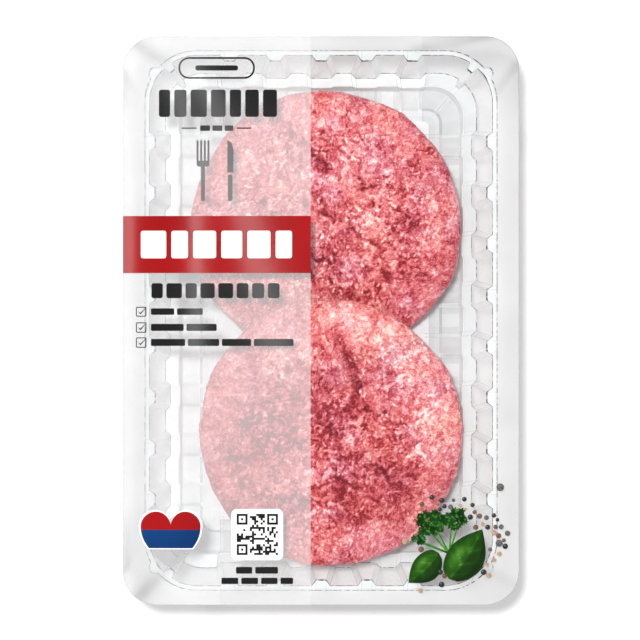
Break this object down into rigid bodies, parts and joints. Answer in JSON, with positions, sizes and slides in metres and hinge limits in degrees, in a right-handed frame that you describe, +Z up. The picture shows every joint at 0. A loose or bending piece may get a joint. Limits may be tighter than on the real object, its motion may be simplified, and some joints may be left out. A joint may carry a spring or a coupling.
{
  "type": "meat tray pack",
  "caption": "Clear ribbed plastic tray sealed with a printed clear film lid, holding raw beef patties that overlap inside it.",
  "frame": {"origin": "middle of the tray's foot, on the surface that the pack lies on", "axes": "+Z up through the film lid, +Y along the pack towards its top end, +X to the right of the print"},
  "size_m": [0.153, 0.2196, 0.0339],
  "materials": {
    "clear_tray": "clear thermoformed sheet, glossy",
    "clear_film": "clear lidding film with printed fields, glossy",
    "raw_mince": "raw minced beef, moist"
  },
  "bodies": {
    "root": {"tray": "clear_tray", "film_lid": "clear_film", "first_patty": "raw_mince", "second_patty": "raw_mince"}
  },
  "joints": []
}
